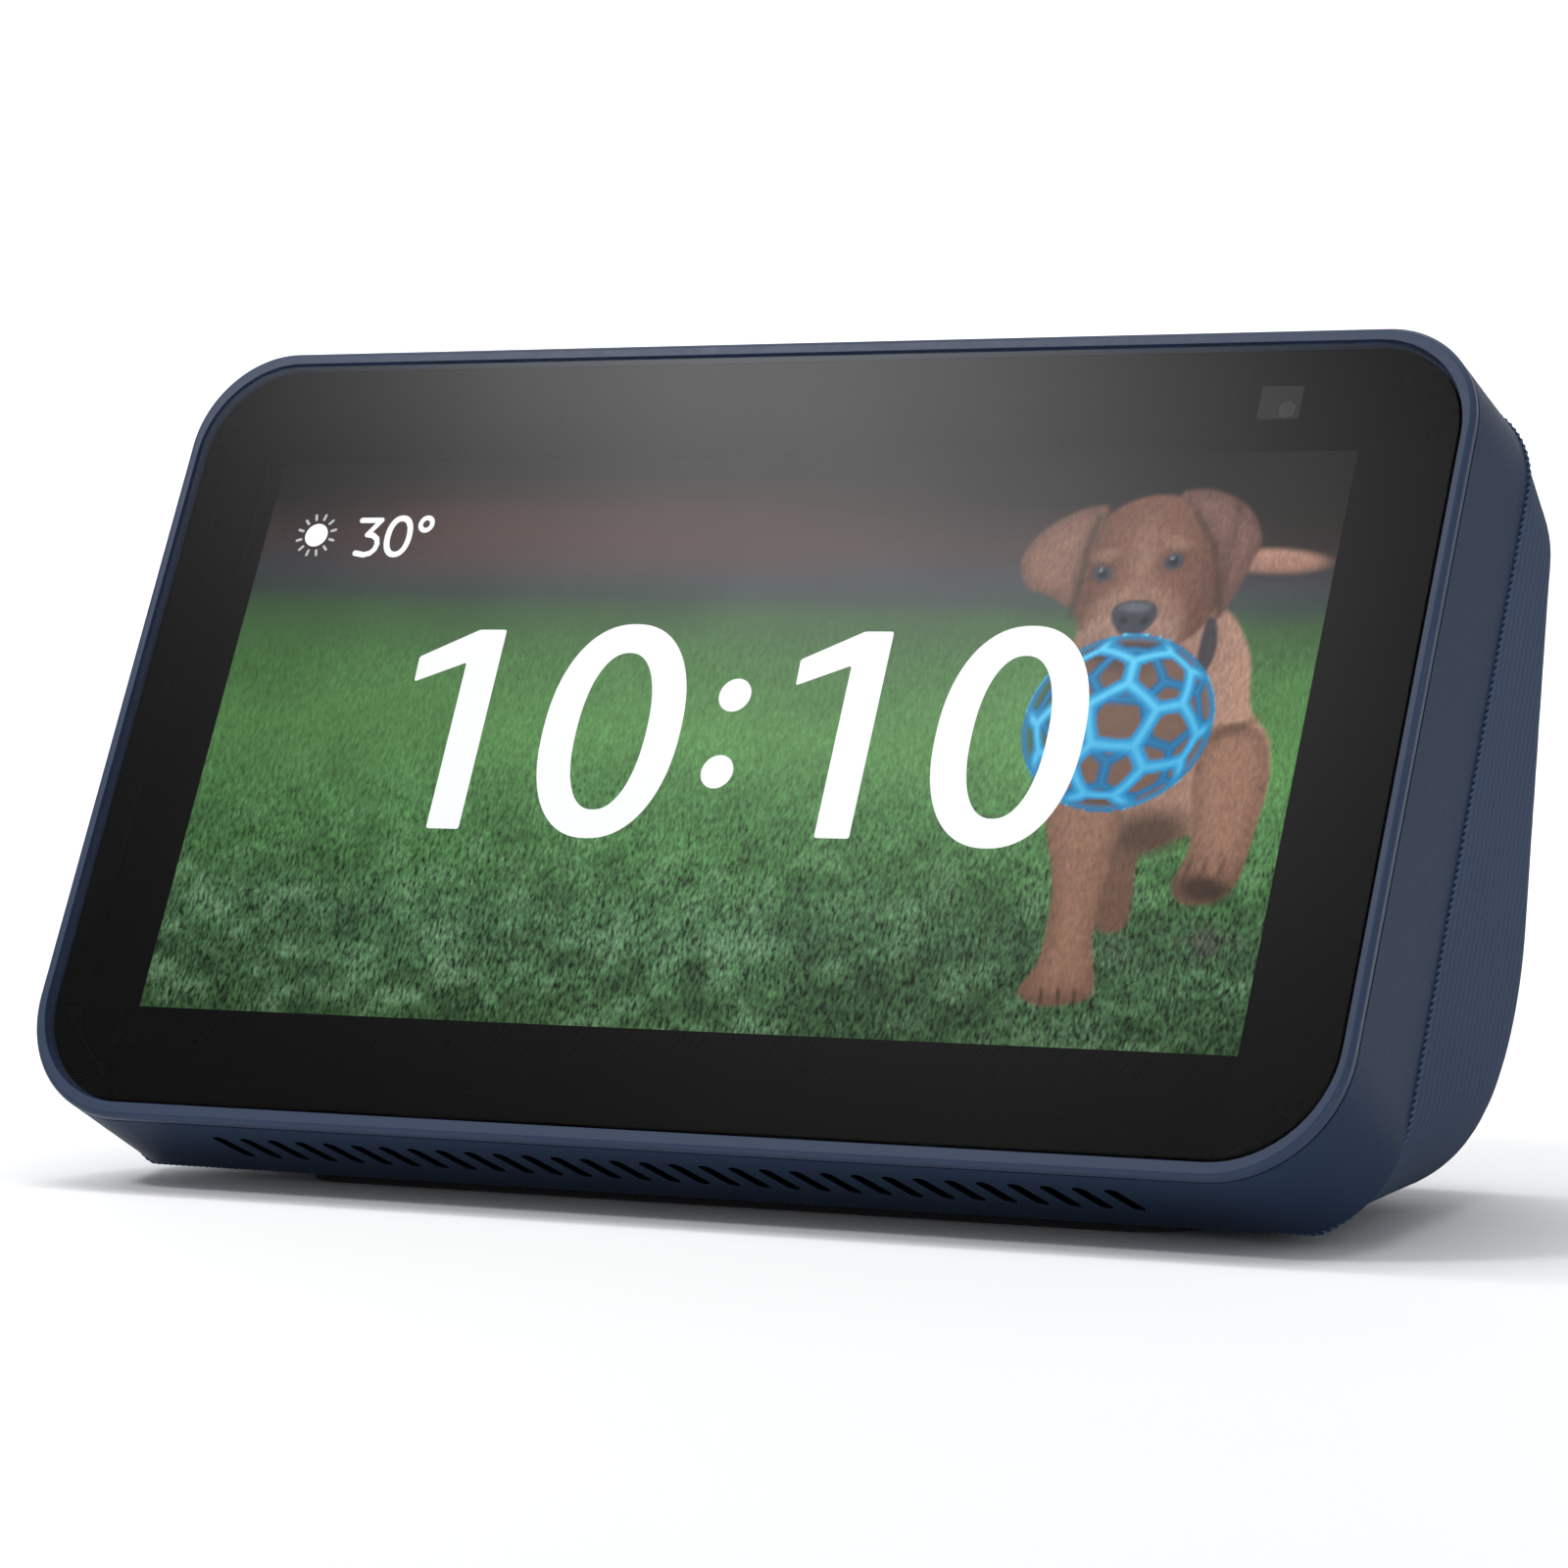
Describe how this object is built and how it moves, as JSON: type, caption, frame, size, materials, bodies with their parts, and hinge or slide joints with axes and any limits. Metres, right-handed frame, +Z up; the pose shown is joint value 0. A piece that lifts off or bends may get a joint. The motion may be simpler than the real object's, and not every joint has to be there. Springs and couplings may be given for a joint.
{
  "type": "smart display",
  "caption": "Compact smart display: tilted touch screen with camera shutter and buttons, in a wedge body with a fabric back and down-firing loudspeaker.",
  "frame": {"origin": "centre of the bounding box on the ground under the foot", "axes": "+X to the right seen from the front, the screen looks towards -Y and leans back 25.4 degrees, +Z up"},
  "size_m": [0.148, 0.073, 0.086],
  "materials": {
    "cover_glass": "polished",
    "black_mask": "printed black",
    "tape": "soft",
    "display_cell": "smooth",
    "backlight": "smooth white",
    "steel_sheet": "plain sheet",
    "front_trim": "fine satin",
    "front_shell": "fine satin",
    "buttons": "satin",
    "shutter_plastic": "satin",
    "fabric": "tight woven",
    "inner_plastic": "moulded",
    "foot_rubber": "matt",
    "screw_steel": "plated",
    "magnet": "nickel plated",
    "inner_frame": "stamped",
    "circuit_board": "solder mask",
    "chip_black": "moulded",
    "thermal_rubber": "soft pad",
    "aluminium": "milled",
    "flex": "polyimide film",
    "copper_foil": "foil",
    "lens_glass": "coated",
    "sensor_window": "smooth",
    "switch_stem": "moulded",
    "foam": "foam",
    "mesh_cloth": "acoustic mesh",
    "speaker_steel": "zinc plated",
    "speaker_basket": "powder coated",
    "cone_paper": "pressed paper",
    "coil_copper": "enamelled wire",
    "surround_rubber": "moulded",
    "spider_cloth": "treated cloth",
    "wire_jacket": "smooth",
    "contact_metal": "nickel plated"
  },
  "bodies": {
    "housing": {"cover_glass": "cover_glass", "bezel_mask": "black_mask", "glass_tape": "tape", "lcd_panel": "display_cell", "backlight_unit": "backlight", "lcd_tray": "steel_sheet", "shield_can": "steel_sheet", "micro_usb_port": "steel_sheet", "front_bezel": "front_trim", "front_housing": "front_shell", "fabric_cover": "fabric", "rear_housing": "inner_plastic", "base_plate": "inner_plastic", "speaker_box": "inner_plastic", "speaker_box_lid": "inner_plastic", "port_plate": "inner_plastic", "foot_pad": "foot_rubber", "base_screws": "screw_steel", "m2_screws": "screw_steel", "box_screws": "screw_steel", "stand_magnets": "magnet", "speaker_magnet": "magnet", "mid_frame": "inner_frame", "camera_bracket": "inner_frame", "main_board": "circuit_board", "button_board": "circuit_board", "io_board": "circuit_board", "processor_chips": "chip_black", "camera_module": "chip_black", "microphones": "chip_black", "board_connectors": "chip_black", "dc_jack": "chip_black", "tact_switches": "chip_black", "thermal_pad": "thermal_rubber", "heat_spreader": "aluminium", "flex_cables": "flex", "wifi_antennas": "copper_foil", "camera_lens": "lens_glass", "light_sensor": "sensor_window", "mic_gaskets": "foam", "speaker_gasket": "foam", "speaker_mesh": "mesh_cloth", "magnet_steel": "speaker_steel", "speaker_frame": "speaker_basket", "speaker_surround": "surround_rubber", "speaker_spider": "spider_cloth", "speaker_wires": "wire_jacket", "io_cable": "wire_jacket", "dc_jack_pin": "contact_metal"},
    "mute_button": {"mute_button": "buttons", "mute_plunger": "switch_stem"},
    "volume_down_button": {"volume_down_button": "buttons", "volume_down_plunger": "switch_stem"},
    "volume_up_button": {"volume_up_button": "buttons", "volume_up_plunger": "switch_stem"},
    "camera_shutter": {"shutter_slider": "shutter_plastic", "shutter_blade": "shutter_plastic"},
    "speaker_cone": {"speaker_cone": "cone_paper", "voice_coil": "coil_copper", "dust_cap": "cone_paper"}
  },
  "joints": [
    {"name": "mute_button_press", "type": "slide", "parent": "housing", "child": "mute_button", "axis": [0, -0.4289, -0.9033], "range_m": [0, 0.0004], "stiffness_N_per_m": 1500},
    {"name": "volume_down_button_press", "type": "slide", "parent": "housing", "child": "volume_down_button", "axis": [0, -0.4289, -0.9033], "range_m": [0, 0.0004], "stiffness_N_per_m": 1500},
    {"name": "volume_up_button_press", "type": "slide", "parent": "housing", "child": "volume_up_button", "axis": [0, -0.4289, -0.9033], "range_m": [0, 0.0004], "stiffness_N_per_m": 1500},
    {"name": "camera_shutter_slide", "type": "slide", "parent": "housing", "child": "camera_shutter", "axis": [-1, 0, 0], "range_m": [0, 0.0065]},
    {"name": "speaker_cone_stroke", "type": "slide", "parent": "housing", "child": "speaker_cone", "axis": [0, 0, 1], "range_m": [-0.0012, 0.0012], "stiffness_N_per_m": 2000}
  ]
}
